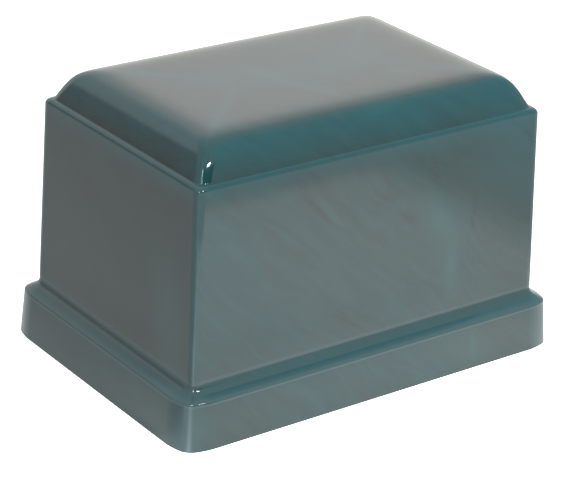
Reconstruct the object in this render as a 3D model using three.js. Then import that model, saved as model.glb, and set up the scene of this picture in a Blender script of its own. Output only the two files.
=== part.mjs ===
// Cremation urn of cast marble: one hollow rectangular casting with a plinth, a plain body and a cushioned
// crown, open underneath, and the flat plate that closes it.
//
// Lengths are in millimetres and angles in degrees. +X runs along the urn, its front looks along -Y and
// +Z is up. The origin is the centre of the underside.
//
// Every surface of the casting is a stack of rounded rectangles. A profile gives, from one to the next,
// how far the rectangle stands in from the plinth's foot, how high it lies and how much each of its corners
// takes from the sides.

import * as THREE from 'three';

// Plinth
const PLINTH_LENGTH = 254;
const PLINTH_WIDTH = 179.3;
const PLINTH_HEIGHT = 30.8; // at the foot of the body
const PLINTH_DRAFT = 5;
const PLINTH_CORNER = 20;
const PLINTH_EDGE_ROUND = 2.4;
const PLINTH_TOP_FALL = 25; // the top slopes down to its edge
const FOOT_ROUND = 0.5;

// Body
const BODY_SETBACK = 10.9; // from the plinth's foot to the body's
const BODY_DRAFT = 1.5;
const BODY_CORNER = 4.8;
const BODY_COVE = 6.5; // where the body rises from the plinth

// Shoulder, the narrow ledge round the crown
const SHOULDER_HEIGHT = 141.7;
const SHOULDER_WIDTH = 3;
const SHOULDER_ROUND = 3.5;
const SHOULDER_FALL = 4;

// Crown, the cushioned top
const CROWN_RISE = 18.6;
const CROWN_RUN = 35; // from the crease to the flat top
const CROWN_LEAN = 26; // of its side at the crease, from upright
const CROWN_SIDE_REACH = 19.4; // how far its curve heads up from the crease
const CROWN_TOP_REACH = 26; // how far it heads level into the top
const CROWN_CREASE_ROUND = 0.9;
const CROWN_FOOT_CORNER = 7;
const CROWN_TOP_CORNER = 10;

// Inside
const WALL = 12.5;
const CAVITY_DRAFT = 1.5;
const CAVITY_CORNER = 8;
const CAVITY_CEILING_ROUND = 18;

// Opening in the underside, and the plate in it
const RIM_WIDTH = 10;
const RECESS_CORNER = 8;
const PLATE_THICKNESS = 8;
const PLATE_SETBACK = 1.2; // the plate's face lies this far inside the rim
const PLATE_EDGE_ROUND = 1;
const PLATE_SIDE_CLEARANCE = 0.5;
const SEAT_CLEARANCE = 0.3;

// Corners in plan: a tight tip between two slacker tails, the same for every corner but for its size
const CORNER_TIP = 0.4; // its radius, for a corner that takes 1 from each side
const CORNER_TAIL_TURN = 19;

// Fineness of the curves
const CORNER_STEPS = 8;
const ROUND_STEPS = 6;
const CROWN_STEPS = 14;

const radians = THREE.MathUtils.degToRad;
const slope = (degrees) => Math.tan(radians(degrees));

// A station of a profile: one rounded rectangle's inset and height, and what a corner takes from each side
const station = (inset, height, corner) => ({ at: new THREE.Vector2(inset, height), corner });

// Shares each edge of a profile between the rounds at its two ends, where they would meet
function limitReaches(stations, reaches) {
  for (let i = 0; i + 1 < stations.length; i += 1) {
    const length = stations[i].at.distanceTo(stations[i + 1].at);
    const share = Math.min(1, length / (reaches[i] + reaches[i + 1]));
    reaches[i] *= share;
    reaches[i + 1] *= share;
  }
}

// Rounds the corners of a profile. rounds holds the radius at each station, and 0 where it stays sharp.
function roundProfile(stations, rounds) {
  const legs = stations.map((here, i) => {
    const back = stations[i - 1]?.at.clone().sub(here.at).normalize();
    const on = stations[i + 1]?.at.clone().sub(here.at).normalize();
    const halfAngle = back && on ? back.angleTo(on) / 2 : Math.PI / 2;
    return { back, on, halfAngle };
  });
  const reaches = legs.map(({ halfAngle }, i) => rounds[i] / Math.tan(halfAngle));
  limitReaches(stations, reaches);

  const cornerAlong = (i, j, reach) => {
    const share = reach / stations[i].at.distanceTo(stations[j].at);
    return THREE.MathUtils.lerp(stations[i].corner, stations[j].corner, share);
  };
  return stations.flatMap((here, i) => {
    if (rounds[i] === 0) return [here];
    const { back, on, halfAngle } = legs[i];
    const reach = reaches[i];
    const radius = reach * Math.tan(halfAngle);
    const toCentre = back.clone().add(on).setLength(radius / Math.sin(halfAngle));
    const centre = here.at.clone().add(toCentre);
    const start = here.at.clone().addScaledVector(back, reach).sub(centre);
    const end = here.at.clone().addScaledVector(on, reach).sub(centre);
    const turn = Math.sign(start.cross(end)) * (Math.PI - 2 * halfAngle);
    const cornerBefore = cornerAlong(i, i - 1, reach);
    const cornerAfter = cornerAlong(i, i + 1, reach);
    const arc = [];
    for (let step = 0; step <= ROUND_STEPS; step += 1) {
      const share = step / ROUND_STEPS;
      const point = start.clone().rotateAround(new THREE.Vector2(), turn * share).add(centre);
      arc.push(station(point.x, point.y, THREE.MathUtils.lerp(cornerBefore, cornerAfter, share)));
    }
    return arc;
  });
}

// The crown's side: it leaves the crease at CROWN_LEAN and eases level with the top
function crownCurve(foot, topInset, topHeight) {
  const lean = radians(CROWN_LEAN);
  const up = new THREE.Vector2(Math.sin(lean), Math.cos(lean));
  const top = new THREE.Vector2(topInset, topHeight);
  const sidePull = foot.at.clone().addScaledVector(up, CROWN_SIDE_REACH);
  const topPull = new THREE.Vector2(topInset - CROWN_TOP_REACH, topHeight);
  const curve = new THREE.CubicBezierCurve(foot.at, sidePull, topPull, top);
  return curve.getPoints(CROWN_STEPS).slice(1).map((point) => {
    const share = (point.x - foot.at.x) / (topInset - foot.at.x);
    return station(point.x, point.y, THREE.MathUtils.lerp(CROWN_FOOT_CORNER, CROWN_TOP_CORNER, share));
  });
}

// Outside of the casting, from the rim up to the edge of the flat top
function outerProfile() {
  const plinthTopFall = slope(PLINTH_TOP_FALL);
  const plinthDraft = slope(PLINTH_DRAFT);
  const plinthEdgeHeight = (PLINTH_HEIGHT - BODY_SETBACK * plinthTopFall) / (1 - plinthDraft * plinthTopFall);
  const plinthEdgeInset = plinthEdgeHeight * plinthDraft;
  const bodyTopInset = BODY_SETBACK + (SHOULDER_HEIGHT - PLINTH_HEIGHT) * slope(BODY_DRAFT);
  const creaseInset = bodyTopInset + SHOULDER_WIDTH;
  const creaseHeight = SHOULDER_HEIGHT + SHOULDER_WIDTH * slope(SHOULDER_FALL);
  const sideAbove = CROWN_RISE / 2;

  const sharp = [
    station(RIM_WIDTH, 0, RECESS_CORNER),
    station(0, 0, PLINTH_CORNER),
    station(plinthEdgeInset, plinthEdgeHeight, PLINTH_CORNER - plinthEdgeInset),
    station(BODY_SETBACK, PLINTH_HEIGHT, BODY_CORNER),
    station(bodyTopInset, SHOULDER_HEIGHT, BODY_CORNER),
    station(creaseInset, creaseHeight, CROWN_FOOT_CORNER),
    station(creaseInset + sideAbove * slope(CROWN_LEAN), creaseHeight + sideAbove, CROWN_FOOT_CORNER),
  ];
  const rounds = [0, FOOT_ROUND, PLINTH_EDGE_ROUND, BODY_COVE, SHOULDER_ROUND, CROWN_CREASE_ROUND, 0];
  const rounded = roundProfile(sharp, rounds).slice(0, -1);
  const crown = crownCurve(rounded.at(-1), creaseInset + CROWN_RUN, creaseHeight + CROWN_RISE);
  return [...rounded, ...crown];
}

// Inside of the casting, from the edge of the ceiling down to the mouth of the recess
function innerProfile(topHeight) {
  const seatHeight = PLATE_SETBACK + PLATE_THICKNESS + SEAT_CLEARANCE;
  const ceilingHeight = topHeight - WALL;
  const wallInset = (height) => BODY_SETBACK + WALL + (height - PLINTH_HEIGHT) * slope(CAVITY_DRAFT);
  const ceilingInset = wallInset(ceilingHeight);
  const flatInset = ceilingInset + 2 * CAVITY_CEILING_ROUND;
  const sharp = [
    station(flatInset, ceilingHeight, CAVITY_CORNER),
    station(ceilingInset, ceilingHeight, CAVITY_CORNER),
    station(wallInset(seatHeight), seatHeight, CAVITY_CORNER),
    station(RIM_WIDTH, seatHeight, RECESS_CORNER),
  ];
  return roundProfile(sharp, [0, CAVITY_CEILING_ROUND, 0, 0]).slice(1);
}

function plateProfile() {
  const edgeInset = RIM_WIDTH + PLATE_SIDE_CLEARANCE;
  const corner = RECESS_CORNER - PLATE_SIDE_CLEARANCE;
  const faceHeight = PLATE_SETBACK;
  const backHeight = PLATE_SETBACK + PLATE_THICKNESS;
  const middleInset = edgeInset + PLATE_THICKNESS;
  const sharp = [
    station(middleInset, faceHeight, corner),
    station(edgeInset, faceHeight, corner),
    station(edgeInset, backHeight, corner),
    station(middleInset, backHeight, corner),
  ];
  return roundProfile(sharp, [0, PLATE_EDGE_ROUND, PLATE_EDGE_ROUND, 0]).slice(1, -1);
}

// How far a corner's outline stands in from a sharp corner's side, for a corner that takes 1 from each side.
// facing is the share of the outline's normal that faces that side, from 0 to 1.
function cornerInset(facing) {
  const tail = radians(CORNER_TAIL_TURN);
  const spread = Math.cos(tail) - Math.sin(tail);
  const tailRadius = (1 - CORNER_TIP * spread) / (1 - spread);
  const inTip = THREE.MathUtils.clamp(facing, Math.sin(tail), Math.cos(tail));
  return tailRadius * (1 - facing) - (tailRadius - CORNER_TIP) * (Math.cos(tail) - inTip);
}

// The points of one rounded rectangle, anticlockwise from its right-hand side as seen from above
function rectanglePoints({ at, corner }) {
  const sideX = PLINTH_LENGTH / 2 - at.x;
  const sideY = PLINTH_WIDTH / 2 - at.x;
  const points = [];
  for (const [quarter, signX, signY] of [[0, 1, 1], [1, -1, 1], [2, -1, -1], [3, 1, -1]]) {
    for (let step = 0; step <= CORNER_STEPS; step += 1) {
      const angle = (quarter + step / CORNER_STEPS) * Math.PI / 2;
      const x = signX * (sideX - corner * cornerInset(Math.abs(Math.cos(angle))));
      const y = signY * (sideY - corner * cornerInset(Math.abs(Math.sin(angle))));
      points.push(new THREE.Vector3(x, y, at.y));
    }
  }
  return points;
}

// A closed solid through a stack of rounded rectangles, with a flat face inside the first and the last.
// The profile climbs where the surface faces away from the middle, and falls where it faces the middle.
function stackedSolid(profile) {
  const rings = profile.map(rectanglePoints);
  const count = rings[0].length;
  const positions = rings.flat().flatMap((point) => point.toArray());
  const faces = [];
  for (let ring = 0; ring + 1 < rings.length; ring += 1) {
    for (let i = 0; i < count; i += 1) {
      const a = ring * count + i;
      const b = ring * count + (i + 1) % count;
      faces.push(a, b, b + count, a, b + count, a + count);
    }
  }
  const lastRing = (rings.length - 1) * count;
  for (let i = 1; i + 1 < count; i += 1) {
    faces.push(0, i + 1, i, lastRing, lastRing + i, lastRing + i + 1);
  }
  const geometry = new THREE.BufferGeometry();
  geometry.setAttribute('position', new THREE.Float32BufferAttribute(positions, 3));
  geometry.setIndex(faces);
  geometry.computeVertexNormals();
  return geometry;
}

// Teal-green marble casting under a glossy gel coat
const gelCoatedMarble = new THREE.MeshStandardMaterial({ color: '#2f5a5f', roughness: 0.18, metalness: 0 });

// The same casting with its back left as it came from the mould
const plainMarble = new THREE.MeshStandardMaterial({ color: '#3d5a5b', roughness: 0.55, metalness: 0 });

function part(name, geometry, material) {
  const mesh = new THREE.Mesh(geometry, material);
  mesh.name = name;
  return mesh;
}

const outside = outerProfile();
const inside = innerProfile(outside.at(-1).at.y);

const urn = new THREE.Group();
urn.add(part('urn_shell', stackedSolid([...inside, ...outside]), gelCoatedMarble));
urn.add(part('base_plate', stackedSolid(plateProfile()), plainMarble));

export default urn;
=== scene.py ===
"""Cremation urn of cast marble under a glossy gel coat, dressed and lit in a plain studio.

Sizes are the part's own, in millimetres, and everything built from them is in metres in the part's frame:
+X along the urn, its front towards -Y and +Z up.
"""

import math

import bpy
from mathutils import Matrix, Vector


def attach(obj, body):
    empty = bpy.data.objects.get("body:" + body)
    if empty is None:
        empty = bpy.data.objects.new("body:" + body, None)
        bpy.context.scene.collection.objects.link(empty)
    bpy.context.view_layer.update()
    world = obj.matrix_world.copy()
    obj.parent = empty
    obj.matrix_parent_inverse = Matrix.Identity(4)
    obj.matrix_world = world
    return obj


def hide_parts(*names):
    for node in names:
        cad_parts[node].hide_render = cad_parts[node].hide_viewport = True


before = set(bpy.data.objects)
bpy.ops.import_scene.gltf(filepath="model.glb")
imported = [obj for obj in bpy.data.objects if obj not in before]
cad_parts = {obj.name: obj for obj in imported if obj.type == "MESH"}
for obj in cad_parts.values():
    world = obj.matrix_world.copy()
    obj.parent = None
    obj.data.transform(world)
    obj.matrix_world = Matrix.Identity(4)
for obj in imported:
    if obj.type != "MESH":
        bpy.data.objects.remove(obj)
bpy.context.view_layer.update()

MM = 0.001

# Plinth
PLINTH_LENGTH = 254
PLINTH_WIDTH = 179.3
PLINTH_HEIGHT = 30.8  # at the foot of the body
PLINTH_DRAFT = 5
PLINTH_CORNER = 20
PLINTH_EDGE_ROUND = 2.4
PLINTH_TOP_FALL = 25
FOOT_ROUND = 0.5

# Body
BODY_SETBACK = 10.9
BODY_DRAFT = 1.5
BODY_CORNER = 4.8
BODY_COVE = 6.5

# Shoulder, the narrow ledge round the crown
SHOULDER_HEIGHT = 141.7
SHOULDER_WIDTH = 3
SHOULDER_ROUND = 3.5
SHOULDER_FALL = 4

# Crown, the cushioned top
CROWN_RISE = 18.6
CROWN_RUN = 35
CROWN_LEAN = 26
CROWN_SIDE_REACH = 19.4
CROWN_TOP_REACH = 26
CROWN_CREASE_ROUND = 0.9
CROWN_FOOT_CORNER = 7
CROWN_TOP_CORNER = 10

# Inside
WALL = 12.5
CAVITY_DRAFT = 1.5
CAVITY_CORNER = 8
CAVITY_CEILING_ROUND = 18

# Opening in the underside, and the plate in it
RIM_WIDTH = 10
RECESS_CORNER = 8
RECESS_EDGE_ROUND = 0.6
PLATE_THICKNESS = 8
PLATE_SETBACK = 1.2
PLATE_EDGE_ROUND = 1
PLATE_SIDE_CLEARANCE = 0.5
SEAT_CLEARANCE = 0.3

# Corners in plan: a tight tip between two slacker tails, the same for every corner but for its size
CORNER_TIP = 0.4  # its radius, for a corner that takes 1 from each side
CORNER_TAIL_TURN = 19  # in degrees

CLOSING_DISTANCE = 0.001  # the two ends of a ring are one point if they are this close

# Camera: the photograph's own, found from the urn's outline
CAMERA_AZIMUTH = -36.807  # in degrees, as are the next two
CAMERA_ELEVATION = 24.059
CAMERA_ROLL = 2.363
CAMERA_AIM = (0, 0, 70)
CAMERA_DISTANCE = 1281.05
CAMERA_ASIDE = 0.22
CAMERA_ABOVE = -9.72
FILM_WIDTH = 36
FOCAL_PIXELS = 2288.64
PHOTO_WIDTH_PIXELS = 577

# Studio: directions and sizes in degrees as seen from the urn, with azimuth 0 in front and 90 to its right
TENT_WHITE = (0.95, 1.0, 1.0, 1)
TENT_PANELS = (
    # azimuth, elevation, turn, half-width, half-height, softness, colour
    (72, 38, 0, 40, 20, 14, (0.75, 1.1, 1.2, 1)),  # cooler right side
    (170, 5, 0, 45, 33, 14, (1.25, 1.22, 1.22, 1)),  # back wall
    (134, 9, 0, 17, 17, 10, (1.56, 1.48, 1.43, 1)),  # warmer lamp glow in it
    (-147, 6, -32, 8, 24, 8, (0.65, 0.55, 0.55, 1)),  # gap beside it
    (2, 33.5, -24, 32.8, 9, 3, (0.05, 0.05, 0.05, 1)),  # mouth
)
LAMP_AIM = (0, 0, 100)
STROBE_DISTANCE = 1200
STROBES = (
    # name, azimuth, elevation, turn, size in millimetres, power
    ("left_strobe", -49, 46, 0, (80, 80), 0.45),
    ("right_strobe", 7, 42, 73, (50, 200), 3),
)
CORNER_CARD = (-232, -279, 295)  # a small bright card close to the near corner, seen only as sparks in it
CORNER_CARD_SIZE = (60, 150)
CORNER_CARD_POWER = 0.45
FILL_SIZE = 300
FILLS = (
    # name, azimuth, elevation, power
    ("left_fill", -61, 45, 5),
    ("right_fill", 12, 46, 11),
)

# The lit sheet under the urn: its glow, and pools and boxes of more glow painted on it as emission, in
# millimetres
SHEET_HALF_SIZE = 4000
SHEET_WHITE = "#b3b3b3"
SHEET_ROUGHNESS = 0.6
SHEET_GLOW = 0.2
SHEET_POOLS = (
    # centre, half-lengths, glow
    ((900, -1900), (1200, 1300), 1.0),
    ((80, -230), (200, 150), 0.45),
)
SHEET_BOXES = (
    # centre, half-sizes, softness, glow
    ((0, 0), (148, 145), (50, 50), 0.4),  # close round the urn
    ((-12, -215), (237, 146), (70, 34), 0.9),  # in front of it
)
SHOWN_GLOW = 0.7  # what the camera sees besides, so that the sheet ends in white
NEAR_CORNER = (-117, -80)
SPILL_AZIMUTH = -43  # of the light painted on the sheet as a spill from the tent's mouth towards the near corner
SPILL_HALF_WIDTH = 13
SPILL_GLOW = 2.6
SPILL_REACH = 150

# Gel coat, clear and polished
GEL_COAT_ROUGHNESS = 0.06
GEL_COAT_IOR = 1.5
COAT_WAVE_SIZE = 34
COAT_WAVE_DEPTH = 0.012

# Marbling: the pigments, and the patterns that they make
TEAL = "#112e30"
SMOKE = "#172a2a"
END_SMOKE = "#172423"  # over the body's two ends, where more of the brown was poured
PALE_TEAL = "#1b3d3d"
UMBER = "#181b1d"
GLOW_TEAL = "#0a434a"  # painted glow, laid on the rounds, the coves and the tips of the corners
HIGHLIGHT_TEAL = "#384546"  # painted highlight, laid on the plinth's edge, the cove and the lower tips of the corners
FLOW_TURN = 42  # degrees that the long way of clouds and strands falls towards the right of the front
CLOUD_SIZE = (90, 60, 45)
CLOUD_SHIFT = (40, 0, 10)
STRAND_SIZE = (38, 12, 5)
STRAND_SHIFT = (5, 30, 0)
STRAND_SHADE = 0.16  # what a strand adds or takes, as a share of the colour
FRAYING = 1.5  # of the streaks by the strands, as a share of their half-lengths
SWIRL_SIZE = 50
SWIRL_REACH = 22
END_HEIGHT = 88  # of the middle of the brown over the ends
END_HALF_HEIGHT = 53
END_SOFTNESS = 12
END_SLANT = 8  # how far it takes to come in from the corner

# The casting where it has no gel coat. Its grain of marble dust is drawn coarser than life, so that it shows
BARE_TEAL = "#39585a"
BARE_GREY = "#4a5f60"
BARE_CLOUD_SIZE = 28
GRAIN_SIZE = 1.6
GRAIN_DEPTH = 0.08
GRAIN_SHADES = (0.85, 1.15)
GRAIN_ROUGHNESS = (0.5, 0.66)

# The part of a noise that a pattern spreads over its whole range, because few points lie outside it
NOISE_BAND = {"From Min": 0.3, "From Max": 0.7}
CLOUD_BAND = {"From Min": 0.35, "From Max": 0.65}

# Sockets of a Mix node that mixes colours
MIX_A = 6
MIX_B = 7
MIXED = 2

# Streaks of one pigment
STREAKS = (
    # pigment, share at the middle, middle, turns about each axis in degrees, half-lengths
    (UMBER, 0.45, (-35, -77, 112), (0, 43, 0), (40, 30, 3.2)),
    (UMBER, 0.3, (-44, -77, 122), (0, 43, 0), (22, 30, 11)),
    (PALE_TEAL, 0.45, (-30, -77, 113), (0, 42, 0), (22, 30, 4)),
    (PALE_TEAL, 0.6, (43, -77, 88), (0, 60, 0), (34, 30, 15)),
    (PALE_TEAL, 0.6, (55, -78, 56), (0, 80, 0), (26, 30, 8)),
    (UMBER, 0.4, (6, -77, 115), (0, 20, 0), (15, 30, 9)),
    (UMBER, 0.4, (23, -77, 95), (0, 30, 0), (12, 30, 8)),
    (UMBER, 0.4, (40, -77, 119), (0, 80, 0), (15, 30, 6)),
    (UMBER, 0.45, (67, -77, 86), (0, 104, 0), (26, 30, 4)),
    (UMBER, 0.35, (-16, -78, 46), (0, 25, 0), (32, 30, 2.6)),
    # Painted glow: the deeper teal laid thinly over the front's upper right, making it tealer there
    (GLOW_TEAL, 0.2, (100, -77, 125), (0, 0, 0), (50, 30, 50)),
    (PALE_TEAL, 0.6, (66, -88, 16), (0, 88, 0), (16, 12, 4)),
    (PALE_TEAL, 0.4, (58, -88, 15), (0, 20, 0), (36, 12, 14)),
    (PALE_TEAL, 0.6, (-12, -12, 160), (0, 0, -70), (60, 9, 12)),
    (PALE_TEAL, 0.6, (52, -29, 160), (0, 0, -40), (14, 8, 12)),
    (PALE_TEAL, 0.4, (14, -65, 155), (0, 0, 0), (24, 12, 6)),
    (UMBER, 0.4, (-114, 30, 110), (36, 0, 0), (30, 60, 17)),
    (PALE_TEAL, 0.45, (-114, -55, 60), (80, 0, 0), (30, 60, 26)),
)

# Painted glow and painted highlight on each round: the share of the deeper teal that is painted glow, and of
# the paler that is painted highlight
FLAT_PAINTED_GLOW = (0, 0)
EDGE_PAINTED_GLOW = (0.5, 0.6)
LEDGE_PAINTED_GLOW = (0.6, 0)
COVE_PAINTED_GLOW = (0.15, 0.35)
SHOULDER_PAINTED_GLOW = (0.3, 0)
CROWN_PAINTED_GLOW = 0.3
CORNER_PAINTED_GLOW = 0.35
CORNER_PAINTED_HIGHLIGHT = 0.25
LEDGE_PLACE = 0.5  # of the ledge's way from the edge to the cove
EDGE_GLOW_FADE = 2  # how far the painted glow of each fades over the flat beside it
COVE_GLOW_FADE = 5
SHOULDER_GLOW_FADE = 12

# Fineness of the curves
CORNER_STEPS = 28
ROUND_STEPS = 12
CROWN_STEPS = 56


def slope(degrees):
    return math.tan(math.radians(degrees))


def lerp(start, end, share):
    return start + (end - start) * share


class Station:
    """One rounded rectangle of the stack.

    at is its inset from the plinth's foot and its height, and corner is what a corner takes from each side.
    """

    def __init__(self, inset, height, corner, bare=False, glow_paint=FLAT_PAINTED_GLOW):
        self.at = Vector((inset, height))
        self.corner = corner
        self.bare = bare  # left as it came from the mould, with no gel coat
        # The shares of painted glow and painted highlight that this rectangle carries
        self.glow_paint = glow_paint


def limit_reaches(stations, reaches):
    """Shares each edge of a profile between the rounds at its two ends, where they would meet."""
    for i in range(len(stations) - 1):
        length = (stations[i + 1].at - stations[i].at).length
        wanted = reaches[i] + reaches[i + 1]
        share = min(1, length / wanted) if wanted else 1
        reaches[i] *= share
        reaches[i + 1] *= share


def round_profile(stations, rounds):
    """Rounds the corners of a profile. rounds holds a radius for each station, 0 where it stays sharp."""
    legs = []
    for i, here in enumerate(stations):
        back = (stations[i - 1].at - here.at).normalized() if i > 0 else None
        on = (stations[i + 1].at - here.at).normalized() if i + 1 < len(stations) else None
        half_angle = back.angle(on) / 2 if back and on else math.pi / 2
        legs.append((back, on, half_angle))
    reaches = [radius / math.tan(leg[2]) for radius, leg in zip(rounds, legs)]
    limit_reaches(stations, reaches)

    def corner_along(i, j, reach):
        return lerp(stations[i].corner, stations[j].corner, reach / (stations[j].at - stations[i].at).length)

    rounded = []
    for i, here in enumerate(stations):
        if rounds[i] == 0:
            rounded.append(here)
            continue
        back, on, half_angle = legs[i]
        radius = reaches[i] * math.tan(half_angle)
        centre = here.at + (back + on).normalized() * radius / math.sin(half_angle)
        start = here.at + back * reaches[i] - centre
        turn = -start.angle_signed(here.at + on * reaches[i] - centre)
        before = corner_along(i, i - 1, reaches[i])
        after = corner_along(i, i + 1, reaches[i])
        for step in range(ROUND_STEPS + 1):
            share = step / ROUND_STEPS
            point = centre + Matrix.Rotation(turn * share, 2) @ start
            rounded.append(Station(*point, lerp(before, after, share), here.bare, here.glow_paint))
    return rounded


def crown_side(foot, top_inset, top_height):
    """The crown's side: it leaves the crease at its lean and eases level with the top."""
    lean = math.radians(CROWN_LEAN)
    top = Vector((top_inset, top_height))
    pulls = (
        foot.at,
        foot.at + Vector((math.sin(lean), math.cos(lean))) * CROWN_SIDE_REACH,
        top - Vector((CROWN_TOP_REACH, 0)),
        top,
    )
    stations = []
    for step in range(1, CROWN_STEPS + 1):
        on = step / CROWN_STEPS
        off = 1 - on
        weights = (off**3, 3 * off**2 * on, 3 * off * on**2, on**3)
        point = sum((pull * weight for pull, weight in zip(pulls, weights)), Vector((0, 0)))
        share = (point.x - foot.at.x) / (top_inset - foot.at.x)
        # Painted glow on the crown's side: most a quarter of the way in, none past halfway
        glow_share = CROWN_PAINTED_GLOW * math.sin(math.pi * min(1, 2 * share))
        stations.append(Station(*point, lerp(CROWN_FOOT_CORNER, CROWN_TOP_CORNER, share), glow_paint=(glow_share, 0)))
    return stations


def middle(station):
    """The last rectangle of a flat face, drawn in until its two long sides meet."""
    return Station(PLINTH_WIDTH / 2, station.at.y, 0, station.bare)


def shell_profile():
    """The casting, from the middle of its ceiling down the inside, round the rim and up over the top."""
    plinth_top_fall = slope(PLINTH_TOP_FALL)
    plinth_draft = slope(PLINTH_DRAFT)
    edge_height = (PLINTH_HEIGHT - BODY_SETBACK * plinth_top_fall) / (1 - plinth_draft * plinth_top_fall)
    edge_inset = edge_height * plinth_draft
    fade_height = edge_height - EDGE_GLOW_FADE
    fade_inset = fade_height * plinth_draft
    body_foot = PLINTH_HEIGHT + COVE_GLOW_FADE
    body_head = SHOULDER_HEIGHT - SHOULDER_GLOW_FADE
    edge_corner = PLINTH_CORNER - edge_inset
    ledge_inset = lerp(edge_inset, BODY_SETBACK, LEDGE_PLACE)
    ledge_height = lerp(edge_height, PLINTH_HEIGHT, LEDGE_PLACE)
    ledge_corner = lerp(edge_corner, BODY_CORNER, LEDGE_PLACE)

    def body_inset(height):
        return BODY_SETBACK + (height - PLINTH_HEIGHT) * slope(BODY_DRAFT)

    shoulder_inset = body_inset(SHOULDER_HEIGHT)
    crease_inset = shoulder_inset + SHOULDER_WIDTH
    crease_height = SHOULDER_HEIGHT + SHOULDER_WIDTH * slope(SHOULDER_FALL)
    top_height = crease_height + CROWN_RISE
    # A point up the crown's lean, which only gives the round in the crease its second side
    lean_height = crease_height + CROWN_RISE / 2
    lean_inset = crease_inset + CROWN_RISE / 2 * slope(CROWN_LEAN)
    seat_height = PLATE_SETBACK + PLATE_THICKNESS + SEAT_CLEARANCE
    ceiling_height = top_height - WALL

    def wall_inset(height):
        return BODY_SETBACK + WALL + (height - PLINTH_HEIGHT) * slope(CAVITY_DRAFT)

    ceiling_inset = wall_inset(ceiling_height)
    corners = [
        (Station(ceiling_inset + 2 * CAVITY_CEILING_ROUND, ceiling_height, CAVITY_CORNER, bare=True), 0),
        (Station(ceiling_inset, ceiling_height, CAVITY_CORNER, bare=True), CAVITY_CEILING_ROUND),
        (Station(wall_inset(seat_height), seat_height, CAVITY_CORNER, bare=True), RECESS_EDGE_ROUND),
        (Station(RIM_WIDTH, seat_height, RECESS_CORNER, bare=True), RECESS_EDGE_ROUND),
        (Station(RIM_WIDTH, 0, RECESS_CORNER, bare=True), RECESS_EDGE_ROUND),
        (Station(0, 0, PLINTH_CORNER, bare=True), FOOT_ROUND),
        (Station(fade_inset, fade_height, PLINTH_CORNER - fade_inset), 0),
        (Station(edge_inset, edge_height, edge_corner, glow_paint=EDGE_PAINTED_GLOW), PLINTH_EDGE_ROUND),
        (Station(ledge_inset, ledge_height, ledge_corner, glow_paint=LEDGE_PAINTED_GLOW), 0),
        (Station(BODY_SETBACK, PLINTH_HEIGHT, BODY_CORNER, glow_paint=COVE_PAINTED_GLOW), BODY_COVE),
        (Station(body_inset(body_foot), body_foot, BODY_CORNER), 0),
        (Station(body_inset(body_head), body_head, BODY_CORNER), 0),
        (Station(shoulder_inset, SHOULDER_HEIGHT, BODY_CORNER, glow_paint=SHOULDER_PAINTED_GLOW), SHOULDER_ROUND),
        (Station(crease_inset, crease_height, CROWN_FOOT_CORNER), CROWN_CREASE_ROUND),
        (Station(lean_inset, lean_height, CROWN_FOOT_CORNER), 0),
    ]
    rounded = round_profile(*zip(*corners))[:-1]
    crown = crown_side(rounded[-1], crease_inset + CROWN_RUN, top_height)
    return [middle(rounded[0]), *rounded, *crown, middle(crown[-1])]


def plate_profile():
    """The closing plate, from the middle of its outer face round its edge to the middle of its back."""
    edge_inset = RIM_WIDTH + PLATE_SIDE_CLEARANCE
    corner = RECESS_CORNER - PLATE_SIDE_CLEARANCE
    back_height = PLATE_SETBACK + PLATE_THICKNESS
    well_in = edge_inset + PLATE_THICKNESS
    corners = [
        (Station(well_in, PLATE_SETBACK, corner, bare=True), 0),
        (Station(edge_inset, PLATE_SETBACK, corner, bare=True), PLATE_EDGE_ROUND),
        (Station(edge_inset, back_height, corner, bare=True), PLATE_EDGE_ROUND),
        (Station(well_in, back_height, corner, bare=True), 0),
    ]
    rounded = round_profile(*zip(*corners))
    return [middle(rounded[0]), *rounded, middle(rounded[-1])]


def linear(hex_colour):
    """An sRGB hex colour as linear RGBA."""
    channels = [int(hex_colour[i : i + 2], 16) / 255 for i in (1, 3, 5)]
    return [c / 12.92 if c <= 0.04045 else ((c + 0.055) / 1.055) ** 2.4 for c in channels] + [1]


def add(tree, kind, inputs=(), **settings):
    """Adds a node to a tree, with its settings.

    inputs gives values to set, or sockets to link from, by name or number. A node there stands for its first
    output.
    """
    node = tree.nodes.new(kind)
    for name, value in settings.items():
        setattr(node, name, value)
    for key, value in dict(inputs).items():
        if isinstance(value, bpy.types.Node):
            value = value.outputs[0]
        if isinstance(value, bpy.types.NodeSocket):
            tree.links.new(value, node.inputs[key])
        else:
            node.inputs[key].default_value = value
    return node


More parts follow.
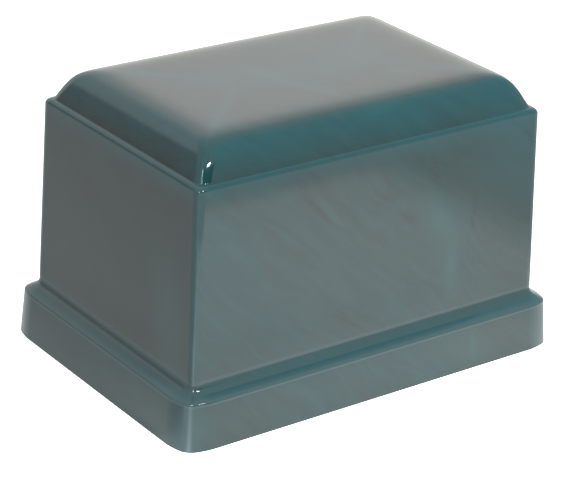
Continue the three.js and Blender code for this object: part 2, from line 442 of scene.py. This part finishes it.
def stacked_rectangles():
    """Geometry nodes that lay a rounded rectangle at each point of a profile and skin the stack.

    A profile point's X is the rectangle's inset, its Y what a corner takes from each side and its Z the
    height.
    """
    tree = bpy.data.node_groups.new("stacked_rectangles", "GeometryNodeTree")
    for name, kind in (
        ("Profile", "Geometry"),
        ("Length", "Float"),
        ("Width", "Float"),
        ("Corner steps", "Int"),
        ("Tip radius", "Float"),
        ("Tail radius", "Float"),
        ("Tail turn", "Float"),
        # The tips of the corners take painted glow, and painted highlight too below a height
        ("Corner painted glow", "Float"),
        ("Corner painted highlight", "Float"),
        ("Highlight below", "Float"),
        ("Coated material", "Material"),
        ("Bare material", "Material"),
    ):
        tree.interface.new_socket(name, in_out="INPUT", socket_type="NodeSocket" + kind)
    tree.interface.new_socket("Casting", in_out="OUTPUT", socket_type="NodeSocketGeometry")
    given = add(tree, "NodeGroupInput").outputs

    # One row of the grid for each profile point, and one more point around than the stack has, to close it
    rings = add(tree, "GeometryNodeAttributeDomainSize", {0: given["Profile"]}, component="MESH")
    quarter_points = add(tree, "ShaderNodeMath", {0: given["Corner steps"], 1: 1}, operation="ADD")
    around = add(tree, "ShaderNodeMath", {0: quarter_points, 1: 4, 2: 1}, operation="MULTIPLY_ADD")
    grid = add(tree, "GeometryNodeMeshGrid", {"Vertices X": rings, "Vertices Y": around})
    index = add(tree, "GeometryNodeInputIndex")
    rows = add(tree, "ShaderNodeMath", {0: index, 1: around}, operation="DIVIDE")
    ring = add(tree, "ShaderNodeMath", {0: rows}, operation="FLOOR")
    place = add(tree, "ShaderNodeMath", {0: index, 1: around}, operation="FLOORED_MODULO")

    # The way that each point faces in plan, and the side of the middle that its corner is on
    quarters = add(tree, "ShaderNodeMath", {0: place, 1: quarter_points}, operation="DIVIDE")
    quarter = add(tree, "ShaderNodeMath", {0: quarters}, operation="FLOOR")
    step = add(tree, "ShaderNodeMath", {0: place, 1: quarter_points}, operation="FLOORED_MODULO")
    swept = add(tree, "ShaderNodeMath", {0: step, 1: given["Corner steps"]}, operation="DIVIDE")
    turns = add(tree, "ShaderNodeMath", {0: quarter, 1: swept}, operation="ADD")
    corner_turns = add(tree, "ShaderNodeMath", {0: quarter, 1: 0.5}, operation="ADD")
    ways = []
    for quarter_turns in (turns, corner_turns):
        angle = add(tree, "ShaderNodeMath", {0: quarter_turns, 1: math.pi / 2}, operation="MULTIPLY")
        cosine = add(tree, "ShaderNodeMath", {0: angle}, operation="COSINE")
        sine = add(tree, "ShaderNodeMath", {0: angle}, operation="SINE")
        ways.append(add(tree, "ShaderNodeCombineXYZ", {0: cosine, 1: sine}))
    outward, towards_corner = ways
    side = add(tree, "ShaderNodeVectorMath", {0: towards_corner}, operation="SIGN")
    facing = add(tree, "ShaderNodeVectorMath", {0: outward}, operation="ABSOLUTE")

    # How far a corner stands in from the sharp one, as a share of what it takes from each side
    tail_cosine = add(tree, "ShaderNodeMath", {0: given["Tail turn"]}, operation="COSINE")
    tail_sine = add(tree, "ShaderNodeMath", {0: given["Tail turn"]}, operation="SINE")
    inputs = {0: given["Tail radius"], 1: given["Tip radius"]}
    slack = add(tree, "ShaderNodeMath", inputs, operation="SUBTRACT")
    past_tail = add(tree, "ShaderNodeVectorMath", {0: facing, 1: tail_sine}, operation="MAXIMUM")
    in_tip = add(tree, "ShaderNodeVectorMath", {0: past_tail, 1: tail_cosine}, operation="MINIMUM")
    tip_left = add(tree, "ShaderNodeVectorMath", {0: tail_cosine, 1: in_tip}, operation="SUBTRACT")
    tightened = add(tree, "ShaderNodeVectorMath", {0: tip_left, "Scale": slack}, operation="SCALE")
    turned_away = add(tree, "ShaderNodeVectorMath", {0: (1, 1, 1), 1: facing}, operation="SUBTRACT")
    inputs = {0: turned_away, "Scale": given["Tail radius"]}
    tail = add(tree, "ShaderNodeVectorMath", inputs, operation="SCALE")
    corner_in = add(tree, "ShaderNodeVectorMath", {0: tail, 1: tightened}, operation="SUBTRACT")

    # The profile at the ring before, at this one and at the next
    position = add(tree, "GeometryNodeInputPosition")
    neighbours = []
    for offset in (-1, 0, 1):
        at = add(tree, "ShaderNodeMath", {0: ring, 1: offset}, operation="ADD")
        inputs = {"Geometry": given["Profile"], "Value": position, "Index": at}
        neighbours.append(add(tree, "GeometryNodeSampleIndex", inputs, data_type="FLOAT_VECTOR", clamp=True))
    before, here, after = neighbours
    inset, corner, height = add(tree, "ShaderNodeSeparateXYZ", {0: here}).outputs

    sides = add(tree, "ShaderNodeCombineXYZ", {0: given["Length"], 1: given["Width"]})
    half_sides = add(tree, "ShaderNodeVectorMath", {0: sides, "Scale": 0.5}, operation="SCALE")
    straight = add(tree, "ShaderNodeVectorMath", {0: half_sides, 1: inset}, operation="SUBTRACT")
    taken = add(tree, "ShaderNodeVectorMath", {0: corner_in, "Scale": corner}, operation="SCALE")
    reach = add(tree, "ShaderNodeVectorMath", {0: straight, 1: taken}, operation="SUBTRACT")
    level = add(tree, "ShaderNodeCombineXYZ", {2: height})
    point = add(tree, "ShaderNodeVectorMath", {0: side, 1: reach, 2: level}, operation="MULTIPLY_ADD")
    placed = add(tree, "GeometryNodeSetPosition", {"Geometry": grid.outputs["Mesh"], "Position": point})

    # The surface's own normal, from the way the profile runs there, so that the flats shade as flats
    change = add(tree, "ShaderNodeVectorMath", {0: after, 1: before}, operation="SUBTRACT")
    inset_change, corner_change, climb = add(tree, "ShaderNodeSeparateXYZ", {0: change}).outputs
    inputs = {0: corner_in, 1: corner_change, 2: inset_change}
    moved_in = add(tree, "ShaderNodeVectorMath", inputs, operation="MULTIPLY_ADD")
    drawn_in = add(tree, "ShaderNodeVectorMath", {0: facing, 1: moved_in}, operation="DOT_PRODUCT")
    rise = add(tree, "ShaderNodeCombineXYZ", {2: drawn_in.outputs["Value"]})
    normal = add(tree, "ShaderNodeVectorMath", {0: outward, 1: climb, 2: rise}, operation="MULTIPLY_ADD")
    unit = add(tree, "ShaderNodeVectorMath", {0: normal}, operation="NORMALIZE")
    inputs = {"Geometry": placed, "Name": "surface_normal", "Value": unit}
    directed = add(tree, "GeometryNodeStoreNamedAttribute", inputs, data_type="FLOAT_VECTOR", domain="POINT")

    # Shares of painted glow and painted highlight: on the rounds of the profile and at the tips of the
    # corners
    glow_paint = add(tree, "GeometryNodeInputNamedAttribute", {"Name": "glow_paint"}, data_type="FLOAT_VECTOR")
    inputs = {"Geometry": given["Profile"], "Value": glow_paint, "Index": ring}
    round_glow = add(tree, "GeometryNodeSampleIndex", inputs, data_type="FLOAT_VECTOR", clamp=True)
    facing_x, facing_y, _ = add(tree, "ShaderNodeSeparateXYZ", {0: facing}).outputs
    turned = add(tree, "ShaderNodeMath", {0: facing_x, 1: facing_y}, operation="MINIMUM")
    at_tip = add(tree, "ShaderNodeMath", {0: turned, 1: 2}, operation="MULTIPLY", use_clamp=True)
    low = add(tree, "ShaderNodeMath", {0: height, 1: given["Highlight below"]}, operation="LESS_THAN")
    tip_highlight = add(tree, "ShaderNodeMath", {0: given["Corner painted highlight"], 1: low}, operation="MULTIPLY")
    tip_glow = add(tree, "ShaderNodeCombineXYZ", {0: given["Corner painted glow"], 1: tip_highlight})
    corner_glow = add(tree, "ShaderNodeVectorMath", {0: tip_glow, "Scale": at_tip}, operation="SCALE")
    glow_here = add(tree, "ShaderNodeVectorMath", {0: round_glow, 1: corner_glow}, operation="MAXIMUM")
    inputs = {"Geometry": directed, "Name": "painted_glow_shares", "Value": glow_here}
    glow_laid = add(tree, "GeometryNodeStoreNamedAttribute", inputs, data_type="FLOAT_VECTOR", domain="POINT")

    # Where the casting has no gel coat: the faces that end at a bare rectangle
    faces_around = add(tree, "ShaderNodeMath", {0: around, 1: 1}, operation="SUBTRACT")
    face_rows = add(tree, "ShaderNodeMath", {0: index, 1: faces_around}, operation="DIVIDE")
    face_ring = add(tree, "ShaderNodeMath", {0: face_rows}, operation="FLOOR")
    face_end = add(tree, "ShaderNodeMath", {0: face_ring, 1: 1}, operation="ADD")
    bare = add(tree, "GeometryNodeInputNamedAttribute", {"Name": "bare"}, data_type="FLOAT")
    inputs = {"Geometry": given["Profile"], "Value": bare, "Index": face_end}
    bare_here = add(tree, "GeometryNodeSampleIndex", inputs, data_type="FLOAT", clamp=True)
    inputs = {"Geometry": glow_laid, "Name": "bare_casting", "Value": bare_here}
    marked = add(tree, "GeometryNodeStoreNamedAttribute", inputs, data_type="FLOAT", domain="FACE")

    inputs = {"Geometry": marked, "Distance": CLOSING_DISTANCE * MM}
    closed = add(tree, "GeometryNodeMergeByDistance", inputs)
    flipped = add(tree, "GeometryNodeFlipFaces", {"Mesh": closed})
    smooth = add(tree, "GeometryNodeSetShadeSmooth", {"Geometry": flipped})
    own = add(tree, "GeometryNodeInputNamedAttribute", {"Name": "surface_normal"}, data_type="FLOAT_VECTOR")
    inputs = {"Mesh": smooth, "Custom Normal": own}
    shaded = add(tree, "GeometryNodeSetMeshNormal", inputs, mode="FREE", domain="POINT")

    real = add(tree, "GeometryNodeRealizeInstances", {"Geometry": shaded})
    inputs = {"Geometry": real, "Material": given["Coated material"]}
    coated = add(tree, "GeometryNodeSetMaterial", inputs)
    mark = add(tree, "GeometryNodeInputNamedAttribute", {"Name": "bare_casting"}, data_type="FLOAT")
    is_bare = add(tree, "ShaderNodeMath", {0: mark, 1: 0.5}, operation="GREATER_THAN")
    inputs = {"Geometry": coated, "Selection": is_bare, "Material": given["Bare material"]}
    finished = add(tree, "GeometryNodeSetMaterial", inputs)
    add(tree, "NodeGroupOutput", {0: finished})
    return tree


def cast(name, profile, tree, coated, bare):
    """Makes a piece from its profile: the nodes' result as a plain mesh, with its place in the mesh."""
    line = bpy.data.meshes.new(name + "_profile")
    points = [(s.at.x * MM, s.corner * MM, s.at.y * MM) for s in profile]
    line.from_pydata(points, [(i, i + 1) for i in range(len(points) - 1)], [])
    line.attributes.new("bare", "FLOAT", "POINT").data.foreach_set("value", [float(s.bare) for s in profile])
    # Each point carries its shares of painted glow and painted highlight
    glows = [share for s in profile for share in (*s.glow_paint, 0)]
    line.attributes.new("glow_paint", "FLOAT_VECTOR", "POINT").data.foreach_set("vector", glows)
    maker = bpy.data.objects.new(name + "_maker", line)
    bpy.context.collection.objects.link(maker)
    modifier = maker.modifiers.new("casting", "NODES")
    modifier.node_group = tree
    tail = math.radians(CORNER_TAIL_TURN)
    tail_spread = math.cos(tail) - math.sin(tail)
    inputs = {
        "Length": PLINTH_LENGTH * MM,
        "Width": PLINTH_WIDTH * MM,
        "Corner steps": CORNER_STEPS,
        "Tip radius": CORNER_TIP,
        "Tail radius": (1 - CORNER_TIP * tail_spread) / (1 - tail_spread),
        "Tail turn": tail,
        "Corner painted glow": CORNER_PAINTED_GLOW,
        "Corner painted highlight": CORNER_PAINTED_HIGHLIGHT,
        "Highlight below": SHOULDER_HEIGHT * MM,
        "Coated material": coated,
        "Bare material": bare,
    }
    for socket in tree.interface.items_tree:
        if socket.name in inputs:
            modifier[socket.identifier] = inputs[socket.name]
    evaluated = maker.evaluated_get(bpy.context.evaluated_depsgraph_get())
    mesh = bpy.data.meshes.new_from_object(evaluated)
    mesh.name = name
    for spare in ("surface_normal", "bare_casting"):
        mesh.attributes.remove(mesh.attributes[spare])
    piece = bpy.data.objects.new(name, mesh)
    bpy.context.collection.objects.link(piece)
    bpy.data.objects.remove(maker)
    return piece


def material(name):
    made = bpy.data.materials.new(name)
    made.use_nodes = True
    return made


def place_in_millimetres(tree):
    """Where a point of the casting is, in the part's frame."""
    place = add(tree, "ShaderNodeTexCoord").outputs["Object"]
    return add(tree, "ShaderNodeVectorMath", {0: place, "Scale": 1 / MM}, operation="SCALE")


def gel_coated_marble():
    """Cultured marble: polyester resin and marble dust swirled with pigment under a clear gel coat.

    It is cast against a polished mould, so it is glossy all over with a faint long wave, and the pigments
    lie as soft clouds with a few thin veins. A deeper teal is painted on the rounds, the coves and the tips
    of the corners as a painted glow, and a paler one on some edges as a painted highlight.
    """
    made = material("gel_coated_cultured_marble")
    tree = made.node_tree
    shader = tree.nodes["Principled BSDF"]
    shader.inputs["Roughness"].default_value = GEL_COAT_ROUGHNESS
    shader.inputs["IOR"].default_value = GEL_COAT_IOR
    place = place_in_millimetres(tree)

    # The pigments were stirred, so every pattern is read from a place that swirls
    stir = add(tree, "ShaderNodeTexNoise", {"Vector": place, "Scale": 1 / SWIRL_SIZE, "Detail": 2})
    inputs = {0: stir.outputs["Color"], 1: (0.5, 0.5, 0.5)}
    centred = add(tree, "ShaderNodeVectorMath", inputs, operation="SUBTRACT")
    inputs = {0: centred, 1: (SWIRL_REACH, SWIRL_REACH, SWIRL_REACH), 2: place}
    stirred = add(tree, "ShaderNodeVectorMath", inputs, operation="MULTIPLY_ADD")

    flow = (0, math.radians(FLOW_TURN), 0)
    inputs = {"Vector": stirred, "Location": CLOUD_SHIFT, "Rotation": flow, "Scale": CLOUD_SIZE}
    cloud_place = add(tree, "ShaderNodeMapping", inputs, vector_type="TEXTURE")
    clouds = add(tree, "ShaderNodeTexNoise", {"Vector": cloud_place, "Scale": 1, "Detail": 3})
    smoky = add(tree, "ShaderNodeMapRange", {"Value": clouds, **CLOUD_BAND})
    inputs = {"Factor": smoky, MIX_A: linear(TEAL), MIX_B: linear(SMOKE)}
    colour = add(tree, "ShaderNodeMix", inputs, data_type="RGBA").outputs[MIXED]

    # More of the brown over the ends, as far as the slant from each corner and between the ledges
    x, y, height = add(tree, "ShaderNodeSeparateXYZ", {0: place}).outputs
    along = add(tree, "ShaderNodeMath", {0: x}, operation="ABSOLUTE")
    across = add(tree, "ShaderNodeMath", {0: y}, operation="ABSOLUTE")
    from_end = add(tree, "ShaderNodeMath", {0: PLINTH_LENGTH / 2, 1: along}, operation="SUBTRACT")
    from_side = add(tree, "ShaderNodeMath", {0: PLINTH_WIDTH / 2, 1: across}, operation="SUBTRACT")
    nearer = add(tree, "ShaderNodeMath", {0: from_side, 1: from_end}, operation="SUBTRACT")
    inputs = {"Value": nearer, "From Min": 0, "From Max": END_SLANT}
    facing_end = add(tree, "ShaderNodeMapRange", inputs, interpolation_type="SMOOTHSTEP")
    off = add(tree, "ShaderNodeMath", {0: height, 1: END_HEIGHT}, operation="SUBTRACT")
    off = add(tree, "ShaderNodeMath", {0: off}, operation="ABSOLUTE")
    inputs = {
        "Value": off,
        "From Min": END_HALF_HEIGHT - END_SOFTNESS / 2,
        "From Max": END_HALF_HEIGHT + END_SOFTNESS / 2,
        "To Min": 1,
        "To Max": 0,
    }
    level = add(tree, "ShaderNodeMapRange", inputs, interpolation_type="SMOOTHSTEP")
    at_end = add(tree, "ShaderNodeMath", {0: facing_end, 1: level}, operation="MULTIPLY")
    inputs = {"Factor": at_end, MIX_A: colour, MIX_B: linear(END_SMOKE)}
    colour = add(tree, "ShaderNodeMix", inputs, data_type="RGBA").outputs[MIXED]

    # Strands run through the clouds and fray the streaks
    inputs = {"Vector": stirred, "Location": STRAND_SHIFT, "Rotation": flow, "Scale": STRAND_SIZE}
    strand_place = add(tree, "ShaderNodeMapping", inputs, vector_type="TEXTURE")
    strands = add(tree, "ShaderNodeTexNoise", {"Vector": strand_place, "Scale": 1, "Detail": 5})
    for pigment, share, centre, turns, half_lengths in STREAKS:
        turns = [math.radians(turn) for turn in turns]
        inputs = {"Vector": stirred, "Location": centre, "Rotation": turns, "Scale": half_lengths}
        streak_place = add(tree, "ShaderNodeMapping", inputs, vector_type="TEXTURE")
        away = add(tree, "ShaderNodeVectorMath", {0: streak_place}, operation="LENGTH").outputs["Value"]
        frayed = add(tree, "ShaderNodeMath", {0: strands, 1: FRAYING, 2: away}, operation="MULTIPLY_ADD")
        inputs = {
            "Value": frayed,
            "From Min": FRAYING / 2,
            "From Max": FRAYING / 2 + 1,
            "To Min": share,
            "To Max": 0,
        }
        here = add(tree, "ShaderNodeMapRange", inputs, interpolation_type="SMOOTHSTEP")
        inputs = {"Factor": here, MIX_A: colour, MIX_B: linear(pigment)}
        colour = add(tree, "ShaderNodeMix", inputs, data_type="RGBA").outputs[MIXED]
    inputs = {"Value": strands, **NOISE_BAND, "To Min": 1 - STRAND_SHADE, "To Max": 1 + STRAND_SHADE}
    strength = add(tree, "ShaderNodeMapRange", inputs)
    colour = add(tree, "ShaderNodeVectorMath", {0: colour, "Scale": strength}, operation="SCALE")

    # Painted glow and painted highlight over them, by the shares that the piece's own mesh carries
    glow_paint = add(tree, "ShaderNodeAttribute", attribute_name="painted_glow_shares").outputs["Vector"]
    glow_share, highlight_share, _ = add(tree, "ShaderNodeSeparateXYZ", {0: glow_paint}).outputs
    for share, tint in ((glow_share, GLOW_TEAL), (highlight_share, HIGHLIGHT_TEAL)):
        inputs = {"Factor": share, MIX_A: colour, MIX_B: linear(tint)}
        colour = add(tree, "ShaderNodeMix", inputs, data_type="RGBA").outputs[MIXED]
    tree.links.new(colour, shader.inputs["Base Color"])

    wave = add(tree, "ShaderNodeTexNoise", {"Vector": place, "Scale": 1 / COAT_WAVE_SIZE, "Detail": 1})
    bump = add(tree, "ShaderNodeBump", {"Height": wave, "Distance": COAT_WAVE_DEPTH * MM, "Strength": 1})
    tree.links.new(bump.outputs[0], shader.inputs["Normal"])
    return made


def bare_cast_marble():
    """The same casting with no gel coat, as the inside, the rim and the closing plate have.

    It set open to the air or against a rough core, so it is dull, paler with marble dust, finely grained
    and a little pitted.
    """
    made = material("bare_cast_marble")
    tree = made.node_tree
    shader = tree.nodes["Principled BSDF"]
    place = place_in_millimetres(tree)
    clouds = add(tree, "ShaderNodeTexNoise", {"Vector": place, "Scale": 1 / BARE_CLOUD_SIZE, "Detail": 4})
    cloudy = add(tree, "ShaderNodeMapRange", {"Value": clouds, **CLOUD_BAND})
    inputs = {"Factor": cloudy, MIX_A: linear(BARE_TEAL), MIX_B: linear(BARE_GREY)}
    colour = add(tree, "ShaderNodeMix", inputs, data_type="RGBA").outputs[MIXED]
    grain = add(tree, "ShaderNodeTexNoise", {"Vector": place, "Scale": 1 / GRAIN_SIZE, "Detail": 3})
    ranges = []
    for low, high in (GRAIN_SHADES, GRAIN_ROUGHNESS):
        inputs = {"Value": grain, **NOISE_BAND, "To Min": low, "To Max": high}
        ranges.append(add(tree, "ShaderNodeMapRange", inputs))
    shade, dullness = ranges
    shaded = add(tree, "ShaderNodeVectorMath", {0: colour, "Scale": shade}, operation="SCALE")
    bump = add(tree, "ShaderNodeBump", {"Height": grain, "Distance": GRAIN_DEPTH * MM, "Strength": 1})
    for name, node in (("Base Color", shaded), ("Roughness", dullness), ("Normal", bump)):
        tree.links.new(node.outputs[0], shader.inputs[name])
    return made


def direction(azimuth, elevation):
    """The way to a place in the studio. Azimuth 0 is in front of the urn and 90 is to its right."""
    azimuth, elevation = math.radians(azimuth), math.radians(elevation)
    level = math.cos(elevation)
    return Vector((math.sin(azimuth) * level, -math.cos(azimuth) * level, math.sin(elevation)))


def camera():
    """The photograph's own camera, found from the urn's outline."""
    back = direction(CAMERA_AZIMUTH, CAMERA_ELEVATION)
    level = direction(CAMERA_AZIMUTH + 90, 0)
    upright = back.cross(level)
    roll = math.radians(CAMERA_ROLL)
    right = math.cos(roll) * level + math.sin(roll) * upright
    up = math.cos(roll) * upright - math.sin(roll) * level
    place = Vector(CAMERA_AIM) + back * CAMERA_DISTANCE + right * CAMERA_ASIDE + up * CAMERA_ABOVE
    data = bpy.data.cameras.new("camera")
    data.sensor_width = FILM_WIDTH
    data.lens = FILM_WIDTH * FOCAL_PIXELS / PHOTO_WIDTH_PIXELS
    made = bpy.data.objects.new("camera", data)
    axes = Matrix((right, up, back)).transposed().to_4x4()
    made.matrix_world = Matrix.Translation(place * MM) @ axes
    bpy.context.collection.objects.link(made)
    bpy.context.scene.camera = made


def soft_box(tree, place, centre, turn, half_sizes, softness):
    """1 inside a rectangle in a pair of coordinates, falling to 0 over its soft edges."""
    inputs = {"Vector": place, "Location": (*centre, 0), "Rotation": (0, 0, turn)}
    turned = add(tree, "ShaderNodeMapping", inputs, vector_type="TEXTURE")
    sides = add(tree, "ShaderNodeSeparateXYZ", {0: turned}).outputs
    masks = []
    for side, half, soft in zip(sides, half_sizes, softness):
        off = add(tree, "ShaderNodeMath", {0: side}, operation="ABSOLUTE")
        inputs = {
            "Value": off,
            "From Min": half - soft / 2,
            "From Max": half + soft / 2,
            "To Min": 1,
            "To Max": 0,
        }
        masks.append(add(tree, "ShaderNodeMapRange", inputs, interpolation_type="SMOOTHSTEP"))
    return add(tree, "ShaderNodeMath", dict(enumerate(masks)), operation="MULTIPLY")


def tent():
    """The light tent round the urn: white, with a warm back wall and the dark mouth for the camera."""
    world = bpy.data.worlds.new("tent")
    world.use_nodes = True
    tree = world.node_tree
    tree.nodes.clear()
    ray = add(tree, "ShaderNodeTexCoord").outputs["Generated"]
    height = add(tree, "ShaderNodeSeparateXYZ", {0: ray}).outputs["Z"]
    risen = add(tree, "ShaderNodeMath", {0: height}, operation="ARCSINE")
    colour = TENT_WHITE
    for azimuth, elevation, turn, half_width, half_height, softness, panel_colour in TENT_PANELS:
        # Each panel's own azimuth is 0, so that none is cut where the circle of azimuths closes
        parts = []
        for way in (direction(azimuth + 90, 0), direction(azimuth, 0)):
            part = add(tree, "ShaderNodeVectorMath", {0: ray, 1: way}, operation="DOT_PRODUCT")
            parts.append(part.outputs["Value"])
        aside = add(tree, "ShaderNodeMath", dict(enumerate(parts)), operation="ARCTAN2")
        place = add(tree, "ShaderNodeCombineXYZ", {0: aside, 1: risen})
        centre = (0, math.radians(elevation))
        half_sizes = (math.radians(half_width), math.radians(half_height))
        soft = math.radians(softness)
        mask = soft_box(tree, place, centre, math.radians(turn), half_sizes, (soft, soft))
        inputs = {"Factor": mask, MIX_A: colour, MIX_B: panel_colour}
        colour = add(tree, "ShaderNodeMix", inputs, data_type="RGBA").outputs[MIXED]
    lit = add(tree, "ShaderNodeBackground", {"Color": colour})
    plain = add(tree, "ShaderNodeBackground", {"Color": (1, 1, 1, 1)})
    seen = add(tree, "ShaderNodeLightPath").outputs["Is Camera Ray"]
    shown = add(tree, "ShaderNodeMixShader", {0: seen, 1: lit, 2: plain})
    add(tree, "ShaderNodeOutputWorld", {"Surface": shown})
    bpy.context.scene.world = world


def light_table():
    """The white sheet that the urn stands on, lit from below: its glow is painted on as emission, brightest
    in front and in a spill to the near corner.
    """
    mesh = bpy.data.meshes.new("light_table")
    edge = SHEET_HALF_SIZE * MM
    corners = [(-edge, -edge, 0), (edge, -edge, 0), (edge, edge, 0), (-edge, edge, 0)]
    mesh.from_pydata(corners, [], [(0, 1, 2, 3)])
    sheet = material("white_sheet")
    tree = sheet.node_tree
    shader = tree.nodes["Principled BSDF"].inputs
    shader["Base Color"].default_value = linear(SHEET_WHITE)
    shader["Roughness"].default_value = SHEET_ROUGHNESS
    shader["Emission Color"].default_value = (1, 1, 1, 1)
    place = add(tree, "ShaderNodeTexCoord").outputs["Object"]
    glow = SHEET_GLOW
    for centre, half_lengths, pool_glow in SHEET_POOLS:
        inputs = {
            "Vector": place,
            "Location": [c * MM for c in (*centre, 0)],
            "Scale": [half * MM for half in (*half_lengths, 1000)],
        }
        pool = add(tree, "ShaderNodeMapping", inputs, vector_type="TEXTURE")
        away = add(tree, "ShaderNodeVectorMath", {0: pool}, operation="LENGTH").outputs["Value"]
        squared = add(tree, "ShaderNodeMath", {0: away, 1: 2}, operation="POWER")
        fall = add(tree, "ShaderNodeMath", {0: math.exp(-1), 1: squared}, operation="POWER")
        glow = add(tree, "ShaderNodeMath", {0: fall, 1: pool_glow, 2: glow}, operation="MULTIPLY_ADD")
    for centre, half_sizes, softness, box_glow in SHEET_BOXES:
        centre, half_sizes, softness = ([c * MM for c in pair] for pair in (centre, half_sizes, softness))
        box = soft_box(tree, place, centre, 0, half_sizes, softness)
        glow = add(tree, "ShaderNodeMath", {0: box, 1: box_glow, 2: glow}, operation="MULTIPLY_ADD")

    # A painted pool of light, the spill, narrows to the near corner
    inputs = {
        "Vector": place,
        "Location": [c * MM for c in (*NEAR_CORNER, 0)],
        "Rotation": (0, 0, math.radians(SPILL_AZIMUTH - 90)),
    }
    spill = add(tree, "ShaderNodeMapping", inputs, vector_type="TEXTURE")
    outwards, sideways, _ = add(tree, "ShaderNodeSeparateXYZ", {0: spill}).outputs
    aside = add(tree, "ShaderNodeMath", {0: sideways, 1: outwards}, operation="ARCTAN2")
    inputs = {0: aside, 1: math.radians(SPILL_HALF_WIDTH)}
    off = add(tree, "ShaderNodeMath", inputs, operation="DIVIDE")
    squared = add(tree, "ShaderNodeMath", {0: off, 1: 2}, operation="POWER")
    away = add(tree, "ShaderNodeVectorMath", {0: spill}, operation="LENGTH").outputs["Value"]
    inputs = {0: away, 1: 1 / (SPILL_REACH * MM), 2: squared}
    faded = add(tree, "ShaderNodeMath", inputs, operation="MULTIPLY_ADD")
    fall = add(tree, "ShaderNodeMath", {0: math.exp(-1), 1: faded}, operation="POWER")
    glow = add(tree, "ShaderNodeMath", {0: fall, 1: SPILL_GLOW, 2: glow}, operation="MULTIPLY_ADD")

    seen = add(tree, "ShaderNodeLightPath").outputs["Is Camera Ray"]
    glow = add(tree, "ShaderNodeMath", {0: seen, 1: SHOWN_GLOW, 2: glow}, operation="MULTIPLY_ADD")
    tree.links.new(glow.outputs[0], shader["Emission Strength"])
    mesh.materials.append(sheet)
    table = bpy.data.objects.new("light_table", mesh)
    bpy.context.collection.objects.link(table)


def lamp(name, place, turn, size, power):
    """A soft lamp at a place in millimetres, turned towards the urn."""
    data = bpy.data.lights.new(name, "AREA")
    data.shape = "ELLIPSE"
    data.size, data.size_y = (side * MM for side in size)
    data.energy = power
    made = bpy.data.objects.new(name, data)
    made.location = Vector(place) * MM
    facing = (Vector(place) - Vector(LAMP_AIM)).to_track_quat("Z", "Y").to_matrix()
    made.rotation_euler = (facing @ Matrix.Rotation(math.radians(turn), 3, "Z")).to_euler()
    made.visible_camera = False
    bpy.context.collection.objects.link(made)
    return made


def lamps():
    """The strobes and the card, seen in the urn's corners as sparks, and the tent's scattered light."""
    aim = Vector(LAMP_AIM)
    for name, azimuth, elevation, turn, size, power in STROBES:
        lamp(name, aim + direction(azimuth, elevation) * STROBE_DISTANCE, turn, size, power)
    card = lamp("corner_card", CORNER_CARD, 0, CORNER_CARD_SIZE, CORNER_CARD_POWER)
    card.visible_diffuse = False
    for name, azimuth, elevation, power in FILLS:
        place = aim + direction(azimuth, elevation) * STROBE_DISTANCE
        fill = lamp(name, place, 0, (FILL_SIZE, FILL_SIZE), power)
        fill.visible_glossy = False


coated = gel_coated_marble()
bare = bare_cast_marble()
tree = stacked_rectangles()

shell = cast("urn_casting", shell_profile(), tree, coated, bare)
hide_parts("urn_shell")
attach(shell, "root")

plate = cast("closing_plate", plate_profile(), tree, coated, bare)
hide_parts("base_plate")
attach(plate, "root")

camera()
light_table()
tent()
lamps()

bpy.context.scene.view_settings.view_transform = "Standard"

bpy.context.view_layer.update()
